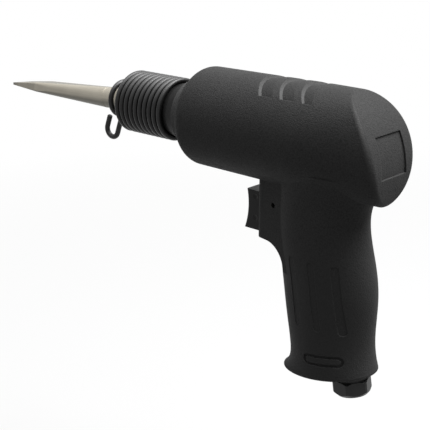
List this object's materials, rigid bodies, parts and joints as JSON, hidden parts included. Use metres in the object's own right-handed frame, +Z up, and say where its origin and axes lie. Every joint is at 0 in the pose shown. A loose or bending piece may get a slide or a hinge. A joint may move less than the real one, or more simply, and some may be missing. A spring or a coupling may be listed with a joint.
{
  "type": "air hammer",
  "caption": "Pistol-grip pneumatic hammer with a sliding trigger, a free piston, a coil-spring tool retainer and a flat chisel; air enters under the grip.",
  "frame": {"origin": "centre of the air inlet's mouth, under the grip", "axes": "+X along the barrel towards the chisel, +Y to the tool's left, +Z up from the inlet to the barrel"},
  "size_m": [0.2936, 0.0568, 0.1664],
  "materials": {
    "jacket": "matt black moulded jacket with a fine pebble grain",
    "casting": "die-cast aluminium",
    "barrel_steel": "dark ground steel",
    "hard_steel": "ground hardened steel",
    "gasket": "dark fibre gasket",
    "chisel_steel": "warm grey satin forged steel",
    "spring_steel": "black oxide spring wire",
    "small_spring": "bright spring wire",
    "trigger_plastic": "black satin plastic",
    "brass": "machined brass",
    "seal": "black nitrile rubber",
    "inlet_steel": "black oxide steel hexagon"
  },
  "bodies": {
    "tool_body": {"housing_jacket": "jacket", "body_casting": "casting", "barrel": "barrel_steel", "valve_plate": "hard_steel", "valve_cap": "hard_steel", "valve_dowels": "hard_steel", "trigger_pin": "hard_steel", "cap_gasket": "gasket", "retainer_spring": "spring_steel", "throttle_spring": "small_spring", "throttle_bush": "brass", "inlet_screen": "brass", "bush_seal": "seal", "stem_seal": "seal", "inlet_seal": "seal", "inlet_bushing": "inlet_steel"},
    "chisel": {"chisel": "chisel_steel"},
    "piston": {"piston": "hard_steel"},
    "valve_disc": {"valve_disc": "hard_steel"},
    "trigger": {"trigger": "trigger_plastic"},
    "throttle_valve": {"throttle_stem": "hard_steel", "throttle_seal": "seal"}
  },
  "joints": [
    {"name": "chisel_slide", "type": "slide", "parent": "tool_body", "child": "chisel", "axis": [0.9997, 0, -0.0262], "range_m": [-0.011, 0]},
    {"name": "piston_slide", "type": "slide", "parent": "tool_body", "child": "piston", "axis": [1, 0, 0], "range_m": [-0.06, 0]},
    {"name": "valve_disc_slide", "type": "slide", "parent": "tool_body", "child": "valve_disc", "axis": [1, 0, 0], "range_m": [0, 0.0012]},
    {"name": "trigger_slide", "type": "slide", "parent": "tool_body", "child": "trigger", "axis": [-1, 0, 0], "range_m": [0, 0.0055], "stiffness_N_per_m": 900, "springref_m": -0.004},
    {"name": "throttle_slide", "type": "slide", "parent": "tool_body", "child": "throttle_valve", "axis": [-1, 0, 0], "range_m": [0, 0.0055], "deforming": ["throttle_spring"]}
  ],
  "couplings": [
    {"joint": "throttle_slide", "follows": "trigger_slide", "ratio": 1}
  ]
}
